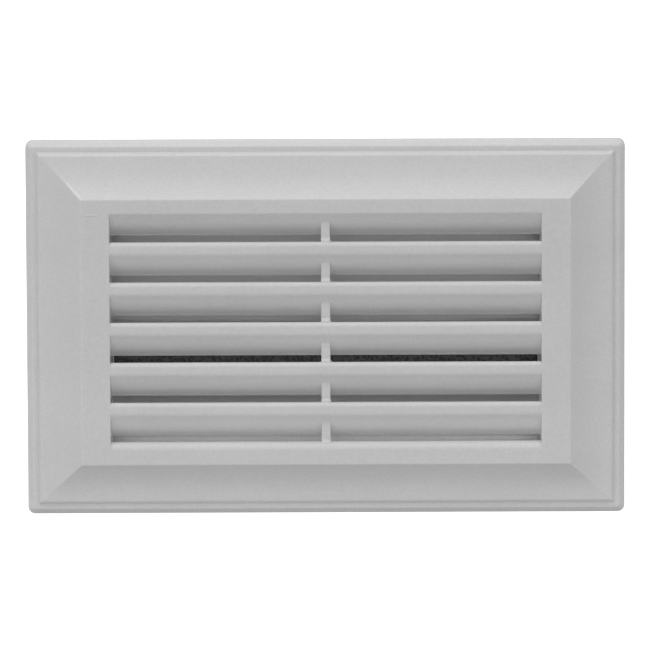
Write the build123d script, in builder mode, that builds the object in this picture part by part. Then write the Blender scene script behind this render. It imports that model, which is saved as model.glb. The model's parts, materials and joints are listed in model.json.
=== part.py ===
"""Louvred vent cover with a clip-on face, a screwed mounting frame and a two-blade damper.

Frame: +X to the right and +Z up as the face is looked at, +Y into the panel it is fixed to.
The panel's outer face is the plane Y = 0, and the origin is the centre of the cut-out there.
A "height" below is a distance towards the viewer from the panel, so height h is Y = -h.
"""

from build123d import *
from math import cos, radians, sin, tan
import os

# ---------------------------------------------------------------- driving dimensions, mm

# louvre cover: outline and rim
cover_width = 241.3
cover_height = 152.9
corner_radius = 2.9
rim_height = 4.5
rim_bevel = 2.3
rim_round = 0.5             # where the bevel meets the rim's face
riser_foot = 4.4            # from the outer edge to the foot of the riser
riser_top = 5.6             # from the outer edge to the start of the cove
riser_top_height = 6.2
cove_start_slope = 8        # degrees, at the riser
bezel_width = 22.2          # from the outer edge to the flat land
land_height = 14.6
crease_round = 0.5
riser_round = 0.6
shell = 2.2
cut_margin = 1.0            # how far a cutting solid passes the face it opens

# louvre cover: louvre field
field_width = 173.9
field_height = 96.6
wall_draft = 3.5            # degrees, on the field's two side walls
sill_rise = 2.9             # from the field's lower edge to the sill's top
sill_depth = 4.2
louvre_pitch = 16.4
louvre_count = 6            # the top one has its lip in the land
first_lip_top = 53.0
lip_face = 4.6
lip_thickness = 2.1
lip_round = 1.6
louvre_drop = 15.0          # from a lip's top to its louvre's lower end
slope_depth = 7.3
slope_start = 32            # degrees off the face, at the crease
crease_softening = 2.4      # round between the lip's face and the slope
slope_thickness = 1.5
end_face = 1.0              # upright face at a louvre's lower end
louvre_edge_round = 0.3
mullion_width = 3.6
mullion_recess = 2.7
mullion_back = 5.6          # height of the mullion's rear face
mullion_blend = 1.6
mullion_root = 0.5          # how far its blends start inside it
mullion_sink = 0.1          # how far they sink into what is below
sill_foot = 0.6             # how far its foot is under the sill's top
gap_corner_right = 1.2
gap_corner_left = 0.5

# louvre cover: skirt that enters the neck, and its stiffening ribs
skirt_wall = 1.6
skirt_rear_y = 1.6
rib_thickness = 1.4
rib_base_height = 6.0
rib_places_x = (-76, -26, 26, 76)
rib_places_z = (-24, 24)

# mounting frame
flange_width = 219.0
flange_height = 130.0
flange_corner = 5.0
flange_back = 2.0           # height of the flange's rear face, on the gasket
flange_front = 5.0
flange_edge_round = 0.6
neck_inner_width = 179.5
neck_inner_height = 102.0
neck_corner = 0.5
neck_wall = 2.2
neck_rear_y = 65.5
ledge_y = 53.5
ledge_thickness = 1.5
ledge_reach = 3.0
neck_lip = 2.0              # neck wall standing past the retainer
slot_width = 1.0
slot_play = 0.5             # beside a clip, in its slot
stop_gap = 0.3
stop_reach = 2.0
stop_depth = 1.5
stop_half_length = 34.0
peg_radius = 1.0
peg_distance = 20.0         # from the hinge axis, along the open blade

# screws
screw_spacing_x = 202.0
screw_spacing_z = 118.4
screw_radius = 1.75
screw_neck_radius = 1.3     # plain neck through the flange
screw_head_radius = 3.5
screw_length = 22.0
screw_hole_radius = 2.0
sink_radius = 3.6
screw_tip = 4.0
recess_length = 3.6
recess_width = 0.9
recess_depth = 1.2

# gasket
gasket_inner_width = 187.4
gasket_inner_height = 109.6
gasket_margin = 1.0
gasket_hole_radius = 2.5

# cover clips
clip_x = 50.0
clip_width = 14.0
clip_strip = 0.4
clip_outer_leg_y = 7.0
clip_inner_leg_y = 4.0
clip_crest_y = -1.5
clip_clearance = 0.06

# damper
hinge_y = 4.5
hinge_z = 47.9
meeting_z = -2.0
meeting_gap = 0.25
blade_width = 176.6
blade_thickness = 1.8
barrel_radius = 2.4
rod_radius = 1.5
rod_length = 183.4
bush_clearance = 0.05
bush_radius = 2.2
bush_flange_radius = 2.5
bush_flange = 0.8
seal_height = 4.0
seal_thickness = 3.4
seal_width = 175.0
lower_blade_opening = 60    # degrees open at rest
blade_travel = 75           # degrees from closed to the open stop
blade_rib = 1.2
blade_rib_height = 2.2      # from the blade's mid-plane
blade_rib_places = (-70, -35, 0, 35, 70)
rib_taper_start = 4.0       # before the seal
rib_taper_end = 2.0
seal_edge_round = 0.6
rod_chamfer = 0.3

# filter and its retainer
filter_thickness = 6.0
filter_clearance = 0.5
retainer_thickness = 2.4
retainer_bar = 5.0
grid_bar = 2.0
barb_x = 50.0
barb_width = 12.0
barb_reach = 1.5
barb_thickness = 1.6
window_play = 0.3

# ---------------------------------------------------------------- planes and helpers

across_width = Plane((0, 0, 0), x_dir=(1, 0, 0), z_dir=(0, 0, -1))     # local x = X, local y = height
across_height = Plane((0, 0, 0), x_dir=(0, 0, 1), z_dir=(1, 0, 0))     # local x = Z, local y = height


def face_at(height):
    """Plane parallel to the panel, seen from the front: local x = X, local y = Z."""
    return Plane((0, -height, 0), x_dir=(1, 0, 0), z_dir=(0, -1, 0))


def save(part, name):
    part.label = name
    export_step(part, f"parts/{name}.step")


neck_outer_width = neck_inner_width + 2 * neck_wall
neck_outer_height = neck_inner_height + 2 * neck_wall
skirt_outer_z = field_height / 2 + skirt_wall
screw_places = [
    (x * screw_spacing_x / 2, z * screw_spacing_z / 2)
    for x, z in ((-1, -1), (0, -1), (1, -1), (-1, 1), (0, 1), (1, 1))
]
os.makedirs("parts", exist_ok=True)


# ---------------------------------------------------------------- louvre cover

def rim_section(span):
    """Section of the raised rim across one span: riser, cove and land, mirrored about the middle."""
    half = span / 2
    below = -rim_height
    with BuildSketch() as section:
        with BuildLine():
            side = Line((half - riser_foot, below), (half - riser_foot, rim_height))
            riser = Line(side @ 1, (half - riser_top, riser_top_height))
            leaving = (-cos(radians(cove_start_slope)), sin(radians(cove_start_slope)))
            cove = TangentArc(riser @ 1, (half - bezel_width, land_height), tangent=leaving)
            Polyline(cove @ 1, (0, land_height), (0, below), side @ 0)
        make_face()
        crease = section.vertices().sort_by_distance((half - bezel_width, land_height))[0]
        fillet(crease, radius=crease_round)
        riser_edge = section.vertices().sort_by_distance((half - riser_top, riser_top_height))[0]
        fillet(riser_edge, radius=riser_round)
        mirror(about=Plane.YZ)
    return section.sketch


def mitred_rim(wide, tall):
    """Solid left where the rim's section across the width meets its section across the height."""
    with BuildPart() as rim:
        with BuildSketch(across_height):
            add(tall)
        extrude(amount=cover_width / 2, both=True)
        with BuildSketch(across_width):
            add(wide)
        extrude(amount=cover_height / 2, both=True, mode=Mode.INTERSECT)
    return rim.part


wide_section = rim_section(cover_width)
tall_section = rim_section(cover_height)
outer_rim = mitred_rim(wide_section, tall_section)
inner_rim = mitred_rim(
    offset(wide_section, amount=-shell, kind=Kind.INTERSECTION),
    offset(tall_section, amount=-shell, kind=Kind.INTERSECTION),
)

# hollow behind the face, with the stiffening ribs left standing in it
with BuildPart() as cover_hollow:
    with BuildSketch(face_at(-cut_margin)):
        RectangleRounded(cover_width - 2 * shell, cover_height - 2 * shell, corner_radius / 2)
    extrude(amount=rim_height - shell + cut_margin)
    add(inner_rim)
    for rib_x in rib_places_x:
        with Locations((rib_x, -rib_base_height, 0)):
            Box(rib_thickness, land_height, cover_height,
                align=(Align.CENTER, Align.MAX, Align.CENTER), mode=Mode.SUBTRACT)
    for rib_z in rib_places_z:
        with Locations((0, -rib_base_height, rib_z)):
            Box(cover_width, land_height, rib_thickness,
                align=(Align.CENTER, Align.MAX, Align.CENTER), mode=Mode.SUBTRACT)

with BuildPart() as louvre_cover:
    with BuildSketch(face_at(0)):
        RectangleRounded(cover_width, cover_height, corner_radius)
    extrude(amount=rim_height)
    chamfer(faces().sort_by(Axis.Y)[0].edges(), length=rim_bevel)
    fillet(faces().sort_by(Axis.Y)[0].edges(), radius=rim_round)
    add(outer_rim.intersect(Box(cover_width, 2 * land_height, cover_height,
                                align=(Align.CENTER, Align.MAX, Align.CENTER), mode=Mode.PRIVATE)))
    add(cover_hollow.part, mode=Mode.SUBTRACT)

    # skirt round the louvre field, reaching into the neck
    with BuildSketch(face_at(land_height - shell)):
        Rectangle(field_width + 2 * skirt_wall, field_height + 2 * skirt_wall)
    extrude(amount=-(land_height - shell + skirt_rear_y))

    # louvre field, narrowing slightly to the rear and cut a little past the skirt
    cut_rear = -2 * skirt_rear_y
    front_half = field_width / 2
    rear_half = front_half - (land_height - cut_rear) * tan(radians(wall_draft))
    with BuildSketch(across_width):
        Polygon(
            (-front_half, land_height), (-rear_half, cut_rear), (rear_half, cut_rear), (front_half, land_height),
            align=None,
        )
    extrude(amount=field_height / 2, both=True, mode=Mode.SUBTRACT)
    # raised sill under the lowest louvre, rounded from the land up to its top
    field_bottom = -field_height / 2
    sill_top = field_bottom + sill_rise
    with BuildSketch(Plane.YZ):
        with BuildLine():
            up = RadiusArc((-land_height, field_bottom), (-land_height + sill_rise, sill_top), sill_rise)
            Polyline(
                up @ 1, (-land_height + sill_depth, sill_top),
                (-land_height + sill_depth, field_bottom - skirt_wall),
                (-land_height, field_bottom - skirt_wall), up @ 0,
            )
        make_face()
    extrude(amount=field_width / 2 + skirt_wall / 2, both=True)

    # louvres: a rounded lip, an upright face, a curved slope running down and back, and a short upright end
    start = radians(slope_start)
    for index in range(louvre_count):
        lip_top = first_lip_top - index * louvre_pitch
        crease_z = lip_top - lip_face
        with BuildSketch(Plane.YZ) as louvre:
            with BuildLine():
                face = Line((-land_height, lip_top), (-land_height, crease_z))
                end_y = -land_height + slope_depth
                slope = TangentArc(
                    face @ 1, (end_y, lip_top - louvre_drop + end_face), tangent=(sin(start), -cos(start)),
                )
                end = Line(slope @ 1, (end_y, lip_top - louvre_drop))
                heading = slope % 1
                edge = Line(end @ 1, end @ 1 + Vector(-heading.Y, heading.X) * slope_thickness)
                rear = TangentArc(
                    edge @ 1, (-land_height + lip_thickness, crease_z + lip_thickness / 2),
                    tangent=-heading,
                )
                Polyline(rear @ 1, (-land_height + lip_thickness, lip_top), face @ 0)
            make_face()
            fillet(louvre.vertices().sort_by_distance((-land_height, lip_top))[0], radius=lip_round)
            fillet(louvre.vertices().sort_by_distance((-land_height, crease_z))[0], radius=crease_softening)
            fillet(louvre.vertices().sort_by_distance(edge @ 0)[0], radius=louvre_edge_round)
            fillet(louvre.vertices().sort_by_distance(edge @ 1)[0], radius=louvre_edge_round)
        extrude(amount=field_width / 2 + skirt_wall / 2, both=True)

    # mullion joining the louvres at mid-span
    mullion_front = land_height - mullion_recess
    with Locations((0, -mullion_front, 0)):
        Box(mullion_width, mullion_front - mullion_back, field_height + skirt_wall,
            align=(Align.CENTER, Align.MIN, Align.CENTER))
    feet = [first_lip_top - index * louvre_pitch for index in range(1, louvre_count)] + [sill_top - sill_foot]
    for foot_top in feet:
        sunk = foot_top - mullion_sink
        # its front curves out to meet the lip, or the sill, below
        with BuildSketch(Plane.YZ):
            with BuildLine():
                reach = (-mullion_front - mullion_blend, sunk)
                out = Line((-mullion_front + mullion_root, sunk), reach)
                hollow = RadiusArc(reach, (-mullion_front, foot_top + mullion_blend), mullion_blend)
                Polyline(hollow @ 1, (-mullion_front + mullion_root, foot_top + mullion_blend), out @ 0)
            make_face()
        extrude(amount=mullion_width / 2, both=True)
        # its sides curve out over the lip, more on the right than on the left
        for side, radius in ((1, gap_corner_right), (-1, gap_corner_left)):
            root = side * mullion_width / 2
            within = root - side * mullion_root
            with BuildSketch(face_at(mullion_front + lip_round / 2)):
                with BuildLine():
                    foot = Line((within, sunk), (root + side * radius, sunk))
                    curl = RadiusArc(foot @ 1, (root, foot_top + radius), side * radius)
                    Polyline(curl @ 1, (within, foot_top + radius), foot @ 0)
                make_face()
            extrude(amount=-lip_thickness)

save(louvre_cover.part, "louvre_cover")


# ---------------------------------------------------------------- mounting frame

neck_side_x = neck_inner_width / 2
neck_side_z = neck_inner_height / 2
stop_front_y = hinge_y - blade_thickness / 2 - stop_gap

with BuildPart() as mounting_frame:
    with BuildSketch(face_at(flange_back)):
        RectangleRounded(flange_width, flange_height, flange_corner)
    extrude(amount=flange_front - flange_back)
    fillet(faces().sort_by(Axis.Y)[0].edges(), radius=flange_edge_round)
    with BuildSketch(face_at(flange_front)):
        RectangleRounded(neck_outer_width, neck_outer_height, neck_corner + neck_wall)
    extrude(amount=-(flange_front + neck_rear_y))
    with BuildSketch(face_at(flange_front)):
        RectangleRounded(neck_inner_width, neck_inner_height, neck_corner)
    extrude(amount=-(flange_front + neck_rear_y), mode=Mode.SUBTRACT)

    # ledge that the filter pad sits against
    with BuildSketch(face_at(-ledge_y)):
        RectangleRounded(neck_outer_width, neck_outer_height, neck_corner + neck_wall)
        RectangleRounded(neck_inner_width - 2 * ledge_reach, neck_inner_height - 2 * ledge_reach,
                         neck_corner, mode=Mode.SUBTRACT)
    extrude(amount=-ledge_thickness)

    # stop strips for the closed blades, and stop pegs for the open ones, on both side walls
    for side in (-1, 1):
        with Locations((side * neck_side_x, stop_front_y, 0)):
            Box(2 * stop_reach, stop_depth, 2 * stop_half_length,
                align=(Align.CENTER, Align.MAX, Align.CENTER))
    swing = radians(blade_travel)
    peg_offset = blade_thickness / 2 + peg_radius + stop_gap
    peg_y = hinge_y + peg_distance * sin(swing) + peg_offset * cos(swing)
    peg_z = hinge_z - peg_distance * cos(swing) + peg_offset * sin(swing)
    for side in (-1, 1):
        with BuildSketch(Plane((side * (neck_side_x - stop_reach), 0, 0), x_dir=(0, 1, 0), z_dir=(side, 0, 0))):
            with Locations((peg_y, peg_z), (peg_y, -peg_z)):
                Circle(peg_radius)
        extrude(amount=stop_reach + neck_wall / 2)

    # seats for the pivot bushes
    for hinge_height in (hinge_z, -hinge_z):
        with Locations(Location((0, hinge_y, hinge_height), (0, 90, 0))):
            Cylinder(bush_radius, neck_outer_width + cut_margin, mode=Mode.SUBTRACT)

    # windows for the retainer's barbs, and slots for the clips' outer legs
    barb_y = neck_rear_y - neck_lip - retainer_thickness / 2
    with Locations((-barb_x, barb_y, 0), (barb_x, barb_y, 0)):
        Box(barb_width + 2 * window_play, barb_thickness + 2 * window_play, neck_outer_height + cut_margin,
            mode=Mode.SUBTRACT)
    slot_z = neck_outer_height / 2 + slot_width / 2
    with BuildSketch(face_at(flange_front)):
        with Locations(*[(x, z) for x in (-clip_x, clip_x) for z in (-slot_z, slot_z)]):
            Rectangle(clip_width + 2 * slot_play, slot_width)
    extrude(amount=-(flange_front - flange_back), mode=Mode.SUBTRACT)

    # countersunk holes: four corners and the middle of each long side
    with Locations(face_at(flange_front)):
        with Locations(*screw_places):
            CounterSinkHole(screw_hole_radius, sink_radius, flange_front, counter_sink_angle=90)
save(mounting_frame.part, "mounting_frame")

with BuildPart() as panel_gasket:
    with BuildSketch(face_at(0)):
        RectangleRounded(flange_width - 2 * gasket_margin, flange_height - 2 * gasket_margin, flange_corner)
        RectangleRounded(gasket_inner_width, gasket_inner_height, neck_corner, mode=Mode.SUBTRACT)
        with Locations(*screw_places):
            Circle(gasket_hole_radius, mode=Mode.SUBTRACT)
    extrude(amount=flange_back)
save(panel_gasket.part, "panel_gasket")

# ---------------------------------------------------------------- screws

head_top = flange_front - (sink_radius - screw_head_radius)
head_depth = screw_head_radius - screw_neck_radius
with BuildPart() as mounting_screws:
    for place in screw_places:
        with BuildSketch(Plane((place[0], 0, place[1]), x_dir=(1, 0, 0), z_dir=(0, 0, 1))):
            with BuildLine():
                Polyline(
                    (0, -head_top), (screw_head_radius, -head_top),
                    (screw_neck_radius, -head_top + head_depth), (screw_neck_radius, 0), (screw_radius, 0),
                    (screw_radius, -head_top + screw_length - screw_tip),
                    (0, -head_top + screw_length), (0, -head_top),
                )
            make_face()
        revolve(axis=Axis((place[0], 0, place[1]), (0, 1, 0)))
    with BuildSketch(face_at(head_top)):
        with Locations(*screw_places):
            Rectangle(recess_length, recess_width)
            Rectangle(recess_width, recess_length)
    extrude(amount=-recess_depth, mode=Mode.SUBTRACT)
save(mounting_screws.part, "mounting_screws")

# ---------------------------------------------------------------- cover clips

def build_clip(side_x, side_z):
    """Spring-steel clip straddling the neck's front edge; its inner leg bows towards the skirt."""
    inner = neck_side_z
    outer = neck_outer_height / 2
    crest = skirt_outer_z + clip_clearance + clip_strip
    front = -flange_front
    with BuildPart() as clip:
        with BuildSketch(Plane((side_x * clip_x, 0, 0), x_dir=(0, 1, 0), z_dir=(1, 0, 0))):
            with BuildLine():
                Polyline(
                    (clip_outer_leg_y, outer), (front, outer), (front, inner),
                    (front + clip_strip, inner), (clip_crest_y, crest), (clip_inner_leg_y, inner),
                    (clip_inner_leg_y, inner - clip_strip), (clip_crest_y, crest - clip_strip),
                    (front + clip_strip, inner - clip_strip), (front - clip_strip, inner - clip_strip),
                    (front - clip_strip, outer + clip_strip), (clip_outer_leg_y, outer + clip_strip),
                    (clip_outer_leg_y, outer),
                )
            make_face()
            if side_z < 0:
                mirror(about=Plane.XZ, mode=Mode.REPLACE)
        extrude(amount=clip_width / 2, both=True)
    return clip.part


for height_word, side_z in (("upper", 1), ("lower", -1)):
    for side_word, side_x in (("left", -1), ("right", 1)):
        save(build_clip(side_x, side_z), f"cover_clip_{height_word}_{side_word}")

# ---------------------------------------------------------------- damper

def build_bush(side_x, side_z):
    """Flanged friction bush pressed into the neck's side wall."""
    with BuildPart() as bush:
        wall = Plane((side_x * neck_side_x, hinge_y, side_z * hinge_z), x_dir=(0, 1, 0), z_dir=(side_x, 0, 0))
        with BuildSketch(wall):
            Circle(bush_radius)
        extrude(amount=neck_wall)
        with BuildSketch(wall):
            Circle(bush_flange_radius)
        extrude(amount=-bush_flange)
        with Locations(wall):
            Hole(rod_radius + bush_clearance)
        fillet(bush.faces().sort_by(Axis.X)[0 if side_x > 0 else -1].edges().sort_by(SortBy.LENGTH)[-1],
               radius=bush_flange / 4)
    return bush.part


def blade_plane(side_z, opening):
    """Plane on a blade's hinge axis: local x = X, local y runs down the blade to its free edge."""
    turn = radians(opening)
    free_edge = Vector(0, sin(turn), -side_z * cos(turn))
    across = Vector(1, 0, 0)
    return Plane((0, hinge_y, side_z * hinge_z), x_dir=across, z_dir=across.cross(free_edge))


def build_blade(plane, rear, reach):
    """Damper blade: a flat leaf on a tubular hinge barrel, ribbed on its rear face."""
    with BuildPart() as blade:
        with BuildSketch(plane.offset(-blade_thickness / 2)):
            with Locations((0, reach / 2)):
                Rectangle(blade_width, reach)
        extrude(amount=blade_thickness)
        with BuildSketch(Plane(plane.origin, x_dir=plane.y_dir, z_dir=plane.x_dir)):
            Circle(barrel_radius)
        extrude(amount=blade_width / 2, both=True)
        for rib_x in blade_rib_places:
            with BuildSketch(Plane(plane.from_local_coords(Vector(rib_x, 0, 0)),
                                   x_dir=plane.y_dir, z_dir=plane.x_dir)):
                Polygon(
                    (barrel_radius / 2, 0), (barrel_radius, rear * blade_rib_height),
                    (reach - seal_height - rib_taper_start, rear * blade_rib_height),
                    (reach - seal_height - rib_taper_end, 0),
                    align=None,
                )
            extrude(amount=blade_rib / 2, both=True)
        with BuildSketch(Plane(plane.origin, x_dir=plane.y_dir, z_dir=plane.x_dir)):
            Circle(rod_radius)
        extrude(amount=blade_width, both=True, mode=Mode.SUBTRACT)
    return blade.part


def build_seal(plane, reach):
    """Channel-shaped strip pushed over a blade's free edge."""
    wall = (seal_thickness - blade_thickness) / 2
    with BuildPart() as seal:
        with BuildSketch(Plane(plane.origin, x_dir=plane.y_dir, z_dir=plane.x_dir)):
            with Locations((reach + wall - seal_height / 2, 0)):
                RectangleRounded(seal_height, seal_thickness, seal_edge_round)
            with Locations((reach / 2, 0)):
                Rectangle(reach, blade_thickness, mode=Mode.SUBTRACT)
        extrude(amount=seal_width / 2, both=True)
    return seal.part


def build_rod(side_z):
    """Stainless rod through a blade's barrel, turning in a bush at each end."""
    with BuildPart() as rod:
        with Locations(Location((0, hinge_y, side_z * hinge_z), (0, 90, 0))):
            Cylinder(rod_radius, rod_length)
        chamfer(rod.edges().filter_by(GeomType.CIRCLE), length=rod_chamfer)
    return rod.part


for height_word, side_z in (("upper", 1), ("lower", -1)):
    for side_word, side_x in (("left", -1), ("right", 1)):
        save(build_bush(side_x, side_z), f"pivot_bush_{height_word}_{side_word}")

seal_wall = (seal_thickness - blade_thickness) / 2
for height_word, side_z, opening in (("upper", 1, 0), ("lower", -1, lower_blade_opening)):
    leaf_plane = blade_plane(side_z, opening)
    leaf_reach = hinge_z - side_z * meeting_z - meeting_gap - seal_wall
    save(build_blade(leaf_plane, side_z, leaf_reach), f"{height_word}_damper_blade")
    save(build_seal(leaf_plane, leaf_reach), f"{height_word}_blade_seal")
    save(build_rod(side_z), f"{height_word}_blade_rod")

# ---------------------------------------------------------------- filter

filter_y = ledge_y + ledge_thickness
with BuildPart() as filter_pad:
    with BuildSketch(face_at(-filter_y)):
        RectangleRounded(neck_inner_width - 2 * filter_clearance, neck_inner_height - 2 * filter_clearance,
                         neck_corner)
    extrude(amount=-filter_thickness)
save(filter_pad.part, "filter_pad")

retainer_width = neck_inner_width - 2 * window_play
retainer_height = neck_inner_height - 2 * window_play
retainer_rear_y = neck_rear_y - neck_lip
with BuildPart() as filter_retainer:
    with BuildSketch(face_at(-retainer_rear_y)):
        RectangleRounded(retainer_width, retainer_height, neck_corner)
        Rectangle(retainer_width - 2 * retainer_bar, retainer_height - 2 * retainer_bar, mode=Mode.SUBTRACT)
        for column in range(-2, 3):
            with Locations((column * retainer_width / 6, 0)):
                Rectangle(grid_bar, retainer_height - retainer_bar)
        for row in (-1, 1):
            with Locations((0, row * retainer_height / 6)):
                Rectangle(retainer_width - retainer_bar, grid_bar)
    extrude(amount=retainer_thickness)
    with Locations(*[(x, barb_y, z * retainer_height / 2) for x in (-barb_x, barb_x) for z in (-1, 1)]):
        Box(barb_width, barb_thickness, 2 * barb_reach)
save(filter_retainer.part, "filter_retainer")
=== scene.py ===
"""Looks of the louvred vent cover: materials, foam, seals and screws, the studio and the camera."""

import json
import math

import bmesh
import bpy
from mathutils import Matrix, Vector, noise


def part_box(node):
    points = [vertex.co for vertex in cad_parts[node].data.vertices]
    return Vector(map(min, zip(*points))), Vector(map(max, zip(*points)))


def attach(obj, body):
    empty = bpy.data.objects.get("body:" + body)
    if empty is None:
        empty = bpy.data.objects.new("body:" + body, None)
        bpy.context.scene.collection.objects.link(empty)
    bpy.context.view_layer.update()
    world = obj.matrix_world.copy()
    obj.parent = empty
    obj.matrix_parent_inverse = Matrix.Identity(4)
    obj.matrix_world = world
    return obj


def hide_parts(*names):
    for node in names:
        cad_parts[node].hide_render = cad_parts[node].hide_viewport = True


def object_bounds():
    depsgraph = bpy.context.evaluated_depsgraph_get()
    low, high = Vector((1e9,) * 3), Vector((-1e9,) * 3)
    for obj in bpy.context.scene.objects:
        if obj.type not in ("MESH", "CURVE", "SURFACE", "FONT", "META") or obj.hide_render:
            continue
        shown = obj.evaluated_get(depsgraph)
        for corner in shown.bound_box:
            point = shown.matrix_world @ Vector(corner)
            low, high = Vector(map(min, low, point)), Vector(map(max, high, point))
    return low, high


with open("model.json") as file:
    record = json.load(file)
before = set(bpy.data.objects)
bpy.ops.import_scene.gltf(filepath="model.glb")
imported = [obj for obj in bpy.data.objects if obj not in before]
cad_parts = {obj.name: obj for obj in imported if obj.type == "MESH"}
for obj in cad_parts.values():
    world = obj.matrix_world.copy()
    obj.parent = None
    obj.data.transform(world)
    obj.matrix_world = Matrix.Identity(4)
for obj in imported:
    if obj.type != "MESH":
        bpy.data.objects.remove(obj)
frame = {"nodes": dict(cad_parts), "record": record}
cad_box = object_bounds()
MM = 0.001


# ---------------------------------------------------------------- node helpers

MIX_COLOURS = slice(6, 8)   # the colour sockets of a mix node
MIX_RESULT = 2
BEVEL_SAMPLES = 4


class Graph:
    """A material's node tree, written to one Principled shader."""

    def __init__(self, name):
        self.material = bpy.data.materials.new(name)
        self.material.use_nodes = True
        self.tree = self.material.node_tree
        self.tree.nodes.clear()
        self.output = self.node("ShaderNodeOutputMaterial")
        self.shader = self.node("ShaderNodeBsdfPrincipled")
        self.link(self.shader.outputs["BSDF"], self.output.inputs["Surface"])
        self.place = self.node("ShaderNodeTexCoord").outputs["Object"]

    def node(self, kind, **settings):
        made = self.tree.nodes.new(kind)
        for key, value in settings.items():
            setattr(made, key, value)
        return made

    def link(self, source, target):
        self.tree.links.new(source, target)

    def stretched(self, scale):
        """Object coordinates scaled by three factors, for grain that runs one way."""
        mapping = self.node("ShaderNodeMapping")
        mapping.inputs["Scale"].default_value = scale
        self.link(self.place, mapping.inputs["Vector"])
        return mapping.outputs["Vector"]

    def noise(self, scale, detail=2.0, roughness=0.5, where=None):
        made = self.node("ShaderNodeTexNoise")
        made.inputs["Scale"].default_value = scale
        made.inputs["Detail"].default_value = detail
        made.inputs["Roughness"].default_value = roughness
        self.link(where or self.place, made.inputs["Vector"])
        return made.outputs["Fac"]

    def cells(self, scale, output="Distance", feature="F1"):
        made = self.node("ShaderNodeTexVoronoi", feature=feature)
        made.inputs["Scale"].default_value = scale
        self.link(self.place, made.inputs["Vector"])
        return made.outputs[output]

    def ramp(self, value, low, high, out_low=0.0, out_high=1.0):
        made = self.node("ShaderNodeMapRange", interpolation_type="SMOOTHSTEP")
        made.inputs["From Min"].default_value = low
        made.inputs["From Max"].default_value = high
        made.inputs["To Min"].default_value = out_low
        made.inputs["To Max"].default_value = out_high
        self.link(value, made.inputs["Value"])
        return made.outputs["Result"]

    def axes(self):
        """Object coordinates X, Y and Z."""
        made = self.node("ShaderNodeSeparateXYZ")
        self.link(self.place, made.inputs["Vector"])
        return made.outputs["X"], made.outputs["Y"], made.outputs["Z"]

    def band(self, value, low, high, fade):
        """1 between two limits of a coordinate, fading out just past them."""
        return self.math(
            "MULTIPLY", self.ramp(value, low - fade, low), self.ramp(value, high, high + fade, 1.0, 0.0)
        )

    def math(self, operation, first, second):
        made = self.node("ShaderNodeMath", operation=operation)
        for socket, value in zip(made.inputs, (first, second)):
            if isinstance(value, (int, float)):
                socket.default_value = value
            else:
                self.link(value, socket)
        return made.outputs["Value"]

    def mix(self, amount, first, second):
        """Colour going from first to second; each is a colour or another node's output."""
        made = self.node("ShaderNodeMix", data_type="RGBA")
        self.link(amount, made.inputs["Factor"])
        for socket, value in zip(made.inputs[MIX_COLOURS], (first, second)):
            if isinstance(value, tuple):
                socket.default_value = value
            else:
                self.link(value, socket)
        return made.outputs[MIX_RESULT]

    def bump(self, height, distance, strength=1.0, over=None):
        made = self.node("ShaderNodeBump")
        made.inputs["Strength"].default_value = strength
        made.inputs["Distance"].default_value = distance
        self.link(height, made.inputs["Height"])
        if over is not None:
            self.link(over, made.inputs["Normal"])
        return made.outputs["Normal"]

    def softened(self, radius):
        """Normals rounded over within a radius of each edge."""
        made = self.node("ShaderNodeBevel", samples=BEVEL_SAMPLES)
        made.inputs["Radius"].default_value = radius
        return made.outputs["Normal"]

    def translucent(self, weight, depth):
        """Lets light wander under the surface, as it does in thin white mouldings."""
        self.shader.inputs["Subsurface Weight"].default_value = weight
        self.shader.inputs["Subsurface Radius"].default_value = (1.0, 1.0, 1.0)
        self.shader.inputs["Subsurface Scale"].default_value = depth

    def finish(self, colour, roughness, normal, **constants):
        self.link(colour, self.shader.inputs["Base Color"])
        self.link(roughness, self.shader.inputs["Roughness"])
        self.link(normal, self.shader.inputs["Normal"])
        for name, value in constants.items():
            self.shader.inputs[name.replace("_", " ")].default_value = value
        return self.material


def grey(value, warmth=0.0):
    return (value * (1 + warmth), value, value * (1 - warmth), 1.0)


# ---------------------------------------------------------------- materials

# scales of noise, in waves per metre
FLOW = 18
MOTTLE = 850
DUST = 110
SMEARS = 42
SPARK = 2600
WORN = 60
DRAWN = 120
BLOOM = 300
LINES = 900
STAIN = 70

MIDDLING = (0.3, 0.7)           # the noise levels between which a material changes
FINE_DETAIL = 4
MIDDLE_DETAIL = 3
ROUGH_DETAIL = 0.6
FLOW_STRETCH = (1.0, 1.0, 2.5)
DRAWN_STRETCH = (0.15, 4.0, 4.0)

# a plastic's surface, with tones as shares of its own
FLOW_TONES = (0.985, 1.01)
FLOW_HEIGHT = 0.6 * MM
FLOW_STRENGTH = 0.35
MOTTLE_TONE = 0.3
MOTTLE_WEIGHT = 0.06
DUST_TONE = 0.62
DUST_SIZE = (0.07, 0.03)        # of a cell
DUST_RARITY = (0.95, 0.96)      # only cells past these hold any
SMEARED = (0.2, 0.8)
GLOSS_BELOW = 0.015
GLOSS_ABOVE = 0.02
GRAIN_STRENGTH = 0.5
EDGE_ROUND = 0.3 * MM
PLASTIC_IOR = 1.49
USUAL_SPECULAR = 0.5
RIDGE_SPECULAR = 1.0
SCUFF_PAINTED_HIGHLIGHT = 0.8               # weights of the painted highlight on a scuff's lip and the painted shade at its foot
SCUFF_PAINTED_SHADE = 0.3

# where each mark on the cover starts and ends, and how far it fades past that; the marks are a painted
# highlight on a mitre's ridge and a scuff's painted highlight and shade
RIDGE_ACROSS = (0.2 * MM, 1.2 * MM, 0.4 * MM)
RIDGE_ALONG = (-103.0 * MM, -99.0 * MM, 2.0 * MM)
SCUFF_TOP = (48.1 * MM, 48.3 * MM, 0.2 * MM)
SCUFF_FOOT = (47.3 * MM, 47.5 * MM, 0.2 * MM)
SCUFF_ALONG = (-95.8 * MM, -92.0 * MM, 0.8 * MM)
MITRE_OFFSET = -cad_box[0].x - cad_box[1].z     # X + Z + this is 0 along the upper left mitre


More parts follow.
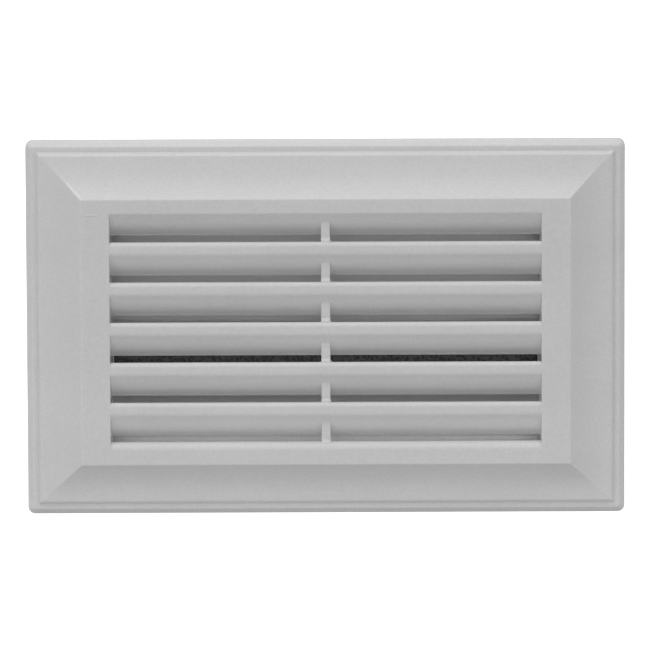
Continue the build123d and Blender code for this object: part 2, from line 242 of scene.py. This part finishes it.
def painted_ridge_and_scuff_light(graph, colour):
    """Paints a highlight along a stretch of one mitre's ridge, as whiter colour and more shine, and a short
    scuff beside the louvres as painted highlight and shade.
    """
    x, _, z = graph.axes()
    from_ridge = graph.math("ADD", graph.math("ADD", x, z), MITRE_OFFSET)
    # painted highlight: the ridge's colour goes to white where light would glint off a rounded edge
    painted_ridge_highlight = graph.math("MULTIPLY", graph.band(from_ridge, *RIDGE_ACROSS), graph.band(x, *RIDGE_ALONG))
    colour = graph.mix(painted_ridge_highlight, colour, grey(1.0))
    shine = graph.ramp(painted_ridge_highlight, 0, 1, USUAL_SPECULAR, RIDGE_SPECULAR)
    graph.link(shine, graph.shader.inputs["Specular IOR Level"])
    # the scuff has no relief in the surface: its lip is a painted highlight and its foot painted shade
    painted_lip_highlight = graph.math("MULTIPLY", graph.band(z, *SCUFF_TOP), graph.band(x, *SCUFF_ALONG))
    painted_foot_shade = graph.math("MULTIPLY", graph.band(z, *SCUFF_FOOT), graph.band(x, *SCUFF_ALONG))
    colour = graph.mix(graph.ramp(painted_lip_highlight, 0, 1, 0, SCUFF_PAINTED_HIGHLIGHT), colour, grey(1.0))
    return graph.mix(graph.ramp(painted_foot_shade, 0, 1, 0, SCUFF_PAINTED_SHADE), colour, grey(0.5))


def moulded_plastic(name, tone, roughness, grain, warmth=0.0, depth=0.0, edge=EDGE_ROUND, marks=None):
    """Moulded plastic: fine spark grain, faint flow marks and mottle, uneven gloss, stray dust."""
    graph = Graph(name)
    flow = graph.noise(FLOW, MIDDLE_DETAIL, where=graph.stretched(FLOW_STRETCH))
    dull, bright = (grey(tone * share, warmth) for share in FLOW_TONES)
    colour = graph.mix(graph.ramp(flow, *MIDDLING), dull, bright)
    mottled = graph.ramp(graph.noise(MOTTLE), *MIDDLING, 0.0, MOTTLE_WEIGHT)
    colour = graph.mix(mottled, colour, grey(tone * MOTTLE_TONE, warmth))
    specks = graph.ramp(graph.cells(DUST), *DUST_SIZE)
    dust = graph.math("MULTIPLY", specks, graph.ramp(graph.cells(DUST, "Color"), *DUST_RARITY))
    colour = graph.mix(dust, colour, grey(tone * DUST_TONE, warmth))
    # marks may paint highlights and shade into the colour
    if marks:
        colour = marks(graph, colour)
    smears = graph.noise(SMEARS, FINE_DETAIL, ROUGH_DETAIL)
    gloss = graph.ramp(smears, *SMEARED, roughness - GLOSS_BELOW, roughness + GLOSS_ABOVE)
    waves = graph.bump(flow, FLOW_HEIGHT, FLOW_STRENGTH, over=graph.softened(edge))
    if depth:
        graph.translucent(1.0, depth)
    surface = graph.bump(graph.noise(SPARK), grain, GRAIN_STRENGTH, over=waves)
    return graph.finish(colour, gloss, surface, IOR=PLASTIC_IOR)


PORE_SHADE_TONE = 0.35                # share of the foam's own tone, painted into the pores as shade
PORE_EDGE = (0.15, 0.6)         # of a cell
PORE_STRENGTH = 0.9
FINE_PORES = 3                  # times smaller and shallower than the main ones
FOAM_ROUGHNESS = (0.82, 0.95)


def foam(name, tone, cell_size, depth):
    """Open or closed-cell foam: pores as pits in the surface, with painted shade in the pits in the colour.
    """
    graph = Graph(name)
    scale = 1 / cell_size
    pore = graph.cells(scale, feature="SMOOTH_F1")
    # painted shade darkens the pores
    colour = graph.mix(graph.ramp(pore, *PORE_EDGE), grey(tone * PORE_SHADE_TONE), grey(tone))
    worn = graph.noise(WORN, MIDDLE_DETAIL)
    roughness = graph.ramp(worn, *MIDDLING, *FOAM_ROUGHNESS)
    fine = graph.bump(graph.noise(scale * FINE_PORES), depth / FINE_PORES, GRAIN_STRENGTH)
    return graph.finish(colour, roughness, graph.bump(pore, depth, PORE_STRENGTH, over=fine))


STREAK_TONES = (0.85, 1.15)
RUBBER_ROUGHNESS = (0.55, 0.72)
STREAK_HEIGHT = 0.08 * MM
DRAWN_STRENGTH = 0.6


def rubber(name, tone):
    """Soft matt elastomer with drawn streaks and bloom."""
    graph = Graph(name)
    streak = graph.noise(DRAWN, FINE_DETAIL, where=graph.stretched(DRAWN_STRETCH))
    dark, light = (grey(tone * share) for share in STREAK_TONES)
    colour = graph.mix(graph.ramp(streak, *MIDDLING), dark, light)
    bloom = graph.noise(BLOOM, MIDDLE_DETAIL)
    roughness = graph.ramp(bloom, *MIDDLING, *RUBBER_ROUGHNESS)
    return graph.finish(colour, roughness, graph.bump(streak, STREAK_HEIGHT, DRAWN_STRENGTH))


STAIN_TONES = (0.82, 1.08)
STAINED = (0.3, 0.75)
LINED = (0.25, 0.75)
LINE_DETAIL = 0.65
LINE_HEIGHT = 0.02 * MM
RUBBED = 0.08                   # how far the roughness goes below and above its mean
DULLED = 0.1


def metal(name, tone, warmth, roughness, stretch):
    """Drawn or rolled metal: fine lines along one axis, darker stains, brighter rubbed patches."""
    graph = Graph(name)
    lines = graph.noise(LINES, FINE_DETAIL, LINE_DETAIL, where=graph.stretched(stretch))
    stain = graph.noise(STAIN, FINE_DETAIL, ROUGH_DETAIL)
    dark, light = (grey(tone * share, warmth) for share in STAIN_TONES)
    colour = graph.mix(graph.ramp(stain, *STAINED), dark, light)
    gloss = graph.ramp(lines, *LINED, roughness - RUBBED, roughness + DULLED)
    return graph.finish(colour, gloss, graph.bump(lines, LINE_HEIGHT, DRAWN_STRENGTH), Metallic=1.0)


finishes = {
    "cover_plastic": moulded_plastic(
        "cover plastic", tone=0.89, roughness=0.20, grain=0.01 * MM,
        depth=1.2 * MM, edge=0.6 * MM, marks=painted_ridge_and_scuff_light,
    ),
    "frame_plastic": moulded_plastic("frame plastic", tone=0.84, roughness=0.50, grain=0.05 * MM),
    "blade_plastic": moulded_plastic("blade plastic", tone=0.86, roughness=0.50, grain=0.04 * MM),
    "gasket_foam": foam("gasket foam", tone=0.10, cell_size=0.9 * MM, depth=0.25 * MM),
    "filter_foam": foam("filter foam", tone=0.07, cell_size=1.1 * MM, depth=0.5 * MM),
    "seal_rubber": rubber("seal rubber", tone=0.62),
    "bush_nylon": moulded_plastic("bush nylon", tone=0.80, roughness=0.38, grain=0.02 * MM, warmth=0.03),
    "stainless": metal("stainless rod", tone=0.60, warmth=0.005, roughness=0.26, stretch=(0.02, 1.0, 1.0)),
    "spring_steel": metal("spring steel", tone=0.42, warmth=-0.01, roughness=0.30, stretch=(1.0, 0.03, 1.0)),
    "zinc_plate": metal("zinc plating", tone=0.62, warmth=-0.02, roughness=0.32, stretch=(1.0, 1.0, 1.0)),
}


def dress(piece, slot):
    """Gives a CAD node or a piece one finish."""
    piece.data.materials.clear()
    piece.data.materials.append(finishes[slot])


SHARP_EDGE = math.radians(28)       # CAD edges flatter than this are shaded smooth
for entry in frame["record"]["subparts"]:
    node = frame["nodes"][entry["node"]]
    dress(node, entry["material_slot"])
    for polygon in node.data.polygons:
        polygon.use_smooth = True
    node.data.set_sharp_from_angle(angle=SHARP_EDGE)


# ---------------------------------------------------------------- mesh helpers

ARC_STEPS = 8               # points round a quarter turn
CIRCLE_STEPS = 24
SHEET_EDGE_STEPS = 2
PORE_REACH = 0.45           # of a foam cell
PIECE_SHARP_EDGE = math.radians(40)


def new_piece(name, mesh, body, slot, replaced):
    """Object made from a mesh, riding on a body in place of a CAD node."""
    piece = bpy.data.objects.new(name, mesh)
    bpy.context.scene.collection.objects.link(piece)
    for polygon in mesh.polygons:
        polygon.use_smooth = True
    dress(piece, slot)
    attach(piece, body)
    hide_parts(replaced)
    return piece


def applied(mesh, kind, **settings):
    """Copy of a mesh with one modifier applied."""
    holder = bpy.data.objects.new("holder", mesh)
    bpy.context.scene.collection.objects.link(holder)
    modifier = holder.modifiers.new(kind, kind)
    for key, value in settings.items():
        setattr(modifier, key, value)
    scene_graph = bpy.context.evaluated_depsgraph_get()
    result = bpy.data.meshes.new_from_object(holder.evaluated_get(scene_graph))
    bpy.data.objects.remove(holder)
    return result


def rounded_outline(width, height, radius):
    """Points round a rectangle with rounded corners, centred on the origin."""
    points = []
    for turn, (side_x, side_z) in enumerate(((1, 1), (-1, 1), (-1, -1), (1, -1))):
        centre = Vector((side_x * (width / 2 - radius), side_z * (height / 2 - radius)))
        for step in range(ARC_STEPS + 1):
            angle = math.pi / 2 * (turn + step / ARC_STEPS)
            points.append(centre + radius * Vector((math.cos(angle), math.sin(angle))))
    return points


def circle(centre, radius):
    """Points round a screw hole."""
    angles = (2 * math.pi * step / CIRCLE_STEPS for step in range(CIRCLE_STEPS))
    return [Vector(centre) + radius * Vector((math.cos(angle), math.sin(angle))) for angle in angles]


def cut_sheet(name, outlines, middle_y, thickness, rounding):
    """Flat sheet parallel to the panel, cut to outlines given in X and Z, with rounded edges."""
    curve = bpy.data.curves.new(name, "CURVE")
    curve.dimensions = "2D"
    curve.fill_mode = "BOTH"
    curve.extrude = thickness / 2 - rounding
    curve.bevel_depth = rounding
    curve.bevel_resolution = SHEET_EDGE_STEPS
    curve.offset = -rounding
    for outline in outlines:
        spline = curve.splines.new("POLY")
        spline.points.add(len(outline) - 1)
        for point, place in zip(spline.points, outline):
            point.co = (*place, 0, 1)
        spline.use_cyclic_u = True
    holder = bpy.data.objects.new(name, curve)
    bpy.context.scene.collection.objects.link(holder)
    scene_graph = bpy.context.evaluated_depsgraph_get()
    mesh = bpy.data.meshes.new_from_object(holder.evaluated_get(scene_graph))
    bpy.data.objects.remove(holder)
    mesh.transform(Matrix.Translation((0, middle_y, 0)) @ Matrix.Rotation(math.radians(90), 4, "X"))
    return mesh


def pitted(mesh, cell, depth, swell, swell_size):
    """Pushes pores into a foam mesh, and lets its skin swell and sink a little."""
    normals = [vertex.normal.copy() for vertex in mesh.vertices]
    for vertex, normal in zip(mesh.vertices, normals):
        to_pore = noise.voronoi(vertex.co / cell)[0][0]
        pit = max(0.0, 1 - (to_pore / PORE_REACH) ** 2)
        rise = noise.noise(vertex.co / swell_size) * swell
        vertex.co += normal * (rise - abs(swell) - pit * depth)


# ---------------------------------------------------------------- foam gasket

HEAD_RADIUS = 3.5 * MM      # of a screw
GASKET_RIM_X = 14.8 * MM
GASKET_RIM_Z = 9.2 * MM
GASKET_CORNER = 5 * MM
GASKET_OPENING_CORNER = 1 * MM
GASKET_HOLE = 2.5 * MM
GASKET_EDGE = 0.35 * MM
GASKET_VOXEL = 0.55 * MM
GASKET_PORES = {"cell": 1.7 * MM, "depth": 0.10 * MM, "swell": 0.06 * MM, "swell_size": 9 * MM}


def screw_places():
    """Centres of the six screws, as X and Z."""
    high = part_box("mounting_screws")[1]
    across, up = high.x - HEAD_RADIUS, high.z - HEAD_RADIUS
    return [(x, z) for z in (up, -up) for x in (-across, 0, across)]


def foam_gasket():
    """Ring with rounded edges, screw holes and a pitted skin."""
    low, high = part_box("panel_gasket")
    width, thickness, height = high - low
    outer = rounded_outline(width, height, GASKET_CORNER)
    opening = rounded_outline(width - 2 * GASKET_RIM_X, height - 2 * GASKET_RIM_Z, GASKET_OPENING_CORNER)
    holes = [circle(place, GASKET_HOLE) for place in screw_places()]
    sheet = cut_sheet("gasket", [outer, opening, *holes], (low.y + high.y) / 2, thickness, GASKET_EDGE)
    sheet = applied(sheet, "REMESH", mode="VOXEL", voxel_size=GASKET_VOXEL)
    pitted(sheet, **GASKET_PORES)
    return new_piece("gasket_foam_ring", sheet, "frame", "gasket_foam", "panel_gasket")


foam_gasket()


# ---------------------------------------------------------------- foam filter pad

FOAM_VOXEL = 0.62 * MM
FOAM_BULGE = 0.9 * MM
FOAM_PORES = {"cell": 2.3 * MM, "depth": 0.75 * MM, "swell": 0.12 * MM, "swell_size": 14 * MM}
RETAINER_BORDER = 5 * MM
RETAINER_BAR = 2 * MM
RETAINER_CELLS = (6, 3)     # across and up


def cell_bulge(place, size, cells):
    """0 under the retainer's bars and 1 in the middle of an opening, in one direction."""
    pitch = size / cells
    from_bar = abs((place / pitch + cells / 2) % 1 - 0.5) * pitch
    room = (pitch - RETAINER_BAR) / 2
    if abs(place) > size / 2 - RETAINER_BORDER:
        return 0.0
    return max(0.0, 1 - (from_bar / room) ** 2)


def block(low, high):
    """Closed box mesh."""
    mesh = bpy.data.meshes.new("block")
    built = bmesh.new()
    bmesh.ops.create_cube(built, size=1)
    size = high - low
    bmesh.ops.transform(
        built, matrix=Matrix.Translation((low + high) / 2) @ Matrix.Diagonal((*size, 1)), verts=built.verts
    )
    built.to_mesh(mesh)
    built.free()
    return mesh


def foam_pad():
    """Pitted slab whose rear face swells a little into the retainer's openings."""
    low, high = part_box("filter_pad")
    pad = applied(block(low, high), "REMESH", mode="VOXEL", voxel_size=FOAM_VOXEL)
    pitted(pad, **FOAM_PORES)
    retainer_low, retainer_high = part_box("filter_retainer")
    grid_width, grid_height = retainer_high.x - retainer_low.x, high.z - low.z
    columns, rows = RETAINER_CELLS
    for vertex in pad.vertices:
        if vertex.co.y > (low.y + high.y) / 2:
            free = cell_bulge(vertex.co.x, grid_width, columns) * cell_bulge(vertex.co.z, grid_height, rows)
            vertex.co.y += FOAM_BULGE * math.sqrt(free)
    return new_piece("filter_foam_pad", pad, "frame", "filter_foam", "filter_pad")


foam_pad()


# ---------------------------------------------------------------- blade seals

# section of a seal in mm: distances along the blade from the seal's middle, and off the blade's middle
SEAL_END = 2.0
SLOT_END = 1.2
SLOT_HALF = 0.9
WEB_HALF = 1.35
LIP_HALF = 1.2
SHOULDER = (-1.8, 1.45)
FIN_HALF = 1.7
FIN_PLACES = (-1.3, 0.0)
FIN_FOOT = (-0.3, 0.28)
FIN_CREST = 0.18
TIP_START = 0.9
TIP_STEPS = 6
SEAL_STEPS = 40             # sections along its length


def seal_profile():
    """Half outline of the finned channel, from the end of its slot round to its tip."""
    points = [(SLOT_END, SLOT_HALF), (-SEAL_END, SLOT_HALF), (-SEAL_END, LIP_HALF), SHOULDER]
    for fin in FIN_PLACES:
        points += [(fin + FIN_FOOT[0], WEB_HALF), (fin, FIN_HALF)]
        points += [(fin + FIN_CREST, FIN_HALF), (fin + FIN_FOOT[1], WEB_HALF)]
    for step in range(TIP_STEPS + 1):
        angle = math.pi / 2 * step / TIP_STEPS
        points.append((TIP_START + (SEAL_END - TIP_START) * math.sin(angle), WEB_HALF * math.cos(angle)))
    return points


def extruded(outline, origin, along, off, half_length):
    """Solid of a closed outline swept straight across the blade."""
    points, faces = [], []
    count = len(outline)
    for step in range(SEAL_STEPS + 1):
        across = Vector((half_length * (2 * step / SEAL_STEPS - 1), 0, 0))
        middle = origin + across
        points += [middle + along * ahead * MM + off * aside * MM for ahead, aside in outline]
    for step in range(SEAL_STEPS):
        for index in range(count):
            here, beside = step * count + index, step * count + (index + 1) % count
            faces.append((here, beside, beside + count, here + count))
    faces.append(tuple(range(count - 1, -1, -1)))
    faces.append(tuple(range(SEAL_STEPS * count, (SEAL_STEPS + 1) * count)))
    mesh = bpy.data.meshes.new("swept")
    mesh.from_pydata(points, [], faces)
    return mesh


def seal_strip(word):
    """The seal on the free edge of the upper or lower blade, in line with the blade."""
    seal_low, seal_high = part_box(f"{word}_blade_seal")
    rod_low, rod_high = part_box(f"{word}_blade_rod")
    centre, hinge = (seal_low + seal_high) / 2, (rod_low + rod_high) / 2
    along = (centre - hinge).normalized()
    off = Vector((1, 0, 0)).cross(along)
    half = seal_profile()
    whole = half + [(ahead, -aside) for ahead, aside in reversed(half[:-1])]
    mesh = extruded(whole, centre, along, off, (seal_high.x - seal_low.x) / 2)
    mesh.set_sharp_from_angle(angle=PIECE_SHARP_EDGE)
    return new_piece(f"{word}_seal_strip", mesh, f"{word}_blade", "seal_rubber", f"{word}_blade_seal")


seal_strip("upper")
seal_strip("lower")


# ---------------------------------------------------------------- screws

# sizes in mm, along the screw from the top of its head
HEAD_EDGE = 0.08
HEAD_RIM = 0.25             # depth of the upright rim
HEAD_DEPTH = 2.2
CONE_STEPS = 4
NECK_RADIUS = 1.3
THREAD_START = 4.3
THREAD_PITCH = 1.4
THREAD_CORE = 1.22
THREAD_CREST = 1.75
THREAD_FOOT = 0.62          # share of the pitch under a ridge
ROWS_PER_TURN = 10
SCREW_SIDES = 28
TIP_LENGTH = 4.0
TIP_CURVE = 0.8
RUN_OUT = 2.2               # how much sooner than the core the ridge is full, at the tip


def clamped(value):
    return min(1.0, max(0.0, value))


def skin(built, first, second):
    """Quads between two rings of vertices."""
    for side in range(len(first)):
        after = (side + 1) % len(first)
        built.faces.new((first[side], first[after], second[after], second[side]))


def finished(name, built):
    """Mesh with its faces turned outwards."""
    bmesh.ops.recalc_face_normals(built, faces=built.faces)
    mesh = bpy.data.meshes.new(name)
    built.to_mesh(mesh)
    built.free()
    return mesh


def screw_radius(along, angle, length):
    """Radius at a distance from the head's top and an angle round the axis."""
    head = HEAD_RADIUS / MM
    if along == 0:
        return head - HEAD_EDGE
    if along <= HEAD_RIM:
        return head
    if along < HEAD_DEPTH:
        return head - (along - HEAD_RIM) * (head - NECK_RADIUS) / (HEAD_DEPTH - HEAD_RIM)
    turn = (along / THREAD_PITCH - angle / (2 * math.pi)) % 1
    ridge = max(0.0, 1 - abs(2 * turn - 1) / THREAD_FOOT)
    grown = clamped((along - THREAD_START) / THREAD_PITCH)
    point = clamped((length - along) / TIP_LENGTH)
    core = (NECK_RADIUS + (THREAD_CORE - NECK_RADIUS) * grown) * point ** TIP_CURVE
    return core + (THREAD_CREST - THREAD_CORE) * ridge * grown * clamped(point * RUN_OUT)


def threaded_screw(length):
    """Countersunk self-tapping screw, head at the origin, pointing along +Y."""
    stops = [0.0, HEAD_EDGE, HEAD_RIM]
    stops += [HEAD_RIM + (HEAD_DEPTH - HEAD_RIM) * step / CONE_STEPS for step in range(1, CONE_STEPS + 1)]
    rows = round((length - HEAD_DEPTH) / THREAD_PITCH * ROWS_PER_TURN)
    stops += [HEAD_DEPTH + (length - HEAD_DEPTH) * row / rows for row in range(1, rows)]
    built = bmesh.new()
    rings = []
    for along in stops:
        ring = []
        for side in range(SCREW_SIDES):
            angle = 2 * math.pi * side / SCREW_SIDES
            radius = screw_radius(along, angle, length)
            place = Vector((radius * math.cos(angle), along, radius * math.sin(angle)))
            ring.append(built.verts.new(place * MM))
        rings.append(ring)
    for first, second in zip(rings, rings[1:]):
        skin(built, first, second)
    built.faces.new(rings[0])
    tip = built.verts.new((0, length * MM, 0))
    for side in range(SCREW_SIDES):
        built.faces.new((rings[-1][side], rings[-1][(side + 1) % SCREW_SIDES], tip))
    return finished("screw", built)


# the recess: depth, half length of an arm and half its width, at its mouth and its floor
RECESS_LEVELS = ((-0.3, 2.0, 0.5), (1.5, 0.75, 0.26))
SCREW_TURN = math.radians(53)       # from one screw's recess to the next one's


def cross_cutter():
    """Tapered cross that the driver's recess is cut with."""
    built = bmesh.new()
    rings = []
    for along, arm, wall in RECESS_LEVELS:
        quarter = [(arm, wall), (wall, wall), (wall, arm)]
        corners = quarter + [(-x, z) for x, z in reversed(quarter)]
        corners += [(-x, -z) for x, z in quarter] + [(x, -z) for x, z in reversed(quarter)]
        rings.append([built.verts.new((x * MM, along * MM, z * MM)) for x, z in corners])
    skin(built, *rings)
    for ring in rings:
        built.faces.new(ring)
    return finished("cross", built)


def threaded_screws():
    """The six screws as one piece, each turned differently."""
    low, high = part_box("mounting_screws")
    cutter = bpy.data.objects.new("cutter", cross_cutter())
    bpy.context.scene.collection.objects.link(cutter)
    solid = threaded_screw((high.y - low.y) / MM)
    screw = applied(solid, "BOOLEAN", operation="DIFFERENCE", solver="EXACT", object=cutter)
    bpy.data.objects.remove(cutter)
    built = bmesh.new()
    for index, (x, z) in enumerate(screw_places()):
        copy = screw.copy()
        copy.transform(Matrix.Translation((x, low.y, z)) @ Matrix.Rotation(SCREW_TURN * index, 4, "Y"))
        built.from_mesh(copy)
        bpy.data.meshes.remove(copy)
    screws = bpy.data.meshes.new("screws")
    built.to_mesh(screws)
    built.free()
    screws.set_sharp_from_angle(angle=PIECE_SHARP_EDGE)
    return new_piece("threaded_screws", screws, "frame", "zinc_plate", "mounting_screws")


threaded_screws()


# ---------------------------------------------------------------- camera

VIEW_PITCH = 10.3           # degrees above level
VIEW_YAW = 0.0              # degrees, negative to the object's left
VIEW_ROLL = -0.22           # degrees
VIEW_DISTANCE = 4.0         # metres
VIEW_WIDTH = 0.26245        # metres across the view at the object
VIEW_TARGET = Vector((-0.0003, 0, 0.00023))
VIEW_REACH = 50             # metres
SENSOR = 36.0               # millimetres


def place_camera(target):
    """Long lens a fixed distance from the target."""
    pitch, yaw = math.radians(VIEW_PITCH), math.radians(VIEW_YAW)
    back = Vector((math.sin(yaw) * math.cos(pitch), -math.cos(yaw) * math.cos(pitch), math.sin(pitch)))
    data = bpy.data.cameras.new("camera")
    data.sensor_width = SENSOR
    data.lens = SENSOR * VIEW_DISTANCE / VIEW_WIDTH
    data.clip_end = VIEW_REACH
    camera = bpy.data.objects.new("camera", data)
    bpy.context.scene.collection.objects.link(camera)
    turn = (-back).to_track_quat("-Z", "Y").to_matrix().to_4x4()
    roll = Matrix.Rotation(math.radians(VIEW_ROLL), 4, "Z")
    camera.matrix_world = Matrix.Translation(target + back * VIEW_DISTANCE) @ turn @ roll
    bpy.context.scene.camera = camera


place_camera(VIEW_TARGET)


# ---------------------------------------------------------------- studio

ROOM = 8                    # metres from the middle to each wall
ROOM_TONE = 0.9
ROOM_ROUGHNESS = 0.9
ROOM_GLOW = 0.8
FLOOR_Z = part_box("louvre_cover")[0].z

SKY_LEVEL = 0.460
SKY_ABOVE = 0.24            # how much brighter straight up
PANEL_LEVEL = 0.55
PANEL_DIRECTION = (0, -0.39, 0.92)
PANEL_EDGE = 0.913          # cosine of the panel's half angle
PANEL_FADE = 0.02

# lights in watts
CORNER_LIGHT = {"place": (-1.316, -1.166, 0.958), "aim": (0, 0, 0), "size": (0.14, 0.14), "power": 2.6}
TABLE_GLOW = {"place": (0, -0.22, -0.26), "aim": (0, 0, -0.04), "size": (0.5, 0.16), "power": 0.11}
DUCT_POWER = 0.021
DUCT_LIGHT_GAP = 5 * MM     # in front of the filter pad
DUCT_LIGHT_MARGIN = 4 * MM  # at each end of the filter pad
LEAK_Y = -2 * MM
LEAK_SIZE = (165 * MM, 8 * MM)
LEAKS = ((38 * MM, 0.0005), (-44 * MM, 0.0007))     # height and power


def plane(name, corners):
    """One bright side of the room. It lights nothing, shows in no reflection and casts no shadow."""
    mesh = bpy.data.meshes.new(name)
    mesh.from_pydata(corners, [], [range(len(corners))])
    obj = bpy.data.objects.new(name, mesh)
    bpy.context.scene.collection.objects.link(obj)
    material = bpy.data.materials.new(name)
    material.use_nodes = True
    shader = material.node_tree.nodes["Principled BSDF"]
    shader.inputs["Base Color"].default_value = grey(ROOM_TONE)
    shader.inputs["Roughness"].default_value = ROOM_ROUGHNESS
    shader.inputs["Emission Color"].default_value = grey(1.0)
    shader.inputs["Emission Strength"].default_value = ROOM_GLOW
    material.cycles.emission_sampling = "NONE"
    mesh.materials.append(material)
    obj.visible_diffuse = False
    obj.visible_glossy = False
    obj.visible_shadow = False


def room():
    """Floor under the object, and a wall on each side."""
    corners = [(-ROOM, -ROOM), (ROOM, -ROOM), (ROOM, ROOM), (-ROOM, ROOM)]
    plane("floor", [(*corner, FLOOR_Z) for corner in corners])
    for index, start in enumerate(corners):
        end = corners[(index + 1) % len(corners)]
        plane(f"wall_{index}", [(*start, FLOOR_Z), (*end, FLOOR_Z), (*end, ROOM), (*start, ROOM)])


def area_light(name, place, aim, size, power, seen=False):
    """Rectangular light turned towards a point."""
    data = bpy.data.lights.new(name, "AREA")
    data.shape = "RECTANGLE"
    data.size, data.size_y = size
    data.energy = power
    obj = bpy.data.objects.new(name, data)
    bpy.context.scene.collection.objects.link(obj)
    turn = (Vector(aim) - Vector(place)).to_track_quat("-Z", "Y").to_matrix().to_4x4()
    obj.matrix_world = Matrix.Translation(place) @ turn
    obj.visible_camera = seen


def duct_lights():
    """Daylight in the duct, and what leaks past the blades behind the top and bottom louvres."""
    low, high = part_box("filter_pad")
    size = (high.x - low.x - 2 * DUCT_LIGHT_MARGIN, high.z - low.z)
    area_light("daylight in the duct", (0, low.y - DUCT_LIGHT_GAP, 0), (0, low.y, 0), size, DUCT_POWER)
    for z, power in LEAKS:
        area_light("daylight past a blade", (0, LEAK_Y, z), (0, 0, z), LEAK_SIZE, power)


def along_direction(tree, direction):
    """Dot product of a direction with the way being looked."""
    looked = tree.nodes.new("ShaderNodeTexCoord").outputs["Generated"]
    made = tree.nodes.new("ShaderNodeVectorMath")
    made.operation = "DOT_PRODUCT"
    made.inputs[1].default_value = direction
    tree.links.new(looked, made.inputs[0])
    return made.outputs["Value"]


def sky():
    """Light from all round that is brighter above, with a soft panel high in front."""
    world = bpy.data.worlds.new("studio")
    bpy.context.scene.world = world
    world.use_nodes = True
    tree = world.node_tree
    background = tree.nodes["Background"]
    background.inputs["Color"].default_value = grey(1.0)
    panel = tree.nodes.new("ShaderNodeMapRange")
    panel.interpolation_type = "SMOOTHSTEP"
    panel.inputs["From Min"].default_value = PANEL_EDGE - PANEL_FADE
    panel.inputs["From Max"].default_value = PANEL_EDGE + PANEL_FADE
    panel.inputs["To Min"].default_value = SKY_LEVEL
    panel.inputs["To Max"].default_value = SKY_LEVEL + PANEL_LEVEL
    tree.links.new(along_direction(tree, PANEL_DIRECTION), panel.inputs["Value"])
    strength = tree.nodes.new("ShaderNodeMath")
    tree.links.new(along_direction(tree, (0, 0, SKY_ABOVE)), strength.inputs[0])
    tree.links.new(panel.outputs["Result"], strength.inputs[1])
    tree.links.new(strength.outputs["Value"], background.inputs["Strength"])


room()
sky()
area_light("corner light", **CORNER_LIGHT, seen=True)
area_light("table glow", **TABLE_GLOW)
duct_lights()
bpy.context.scene.view_settings.view_transform = "Standard"
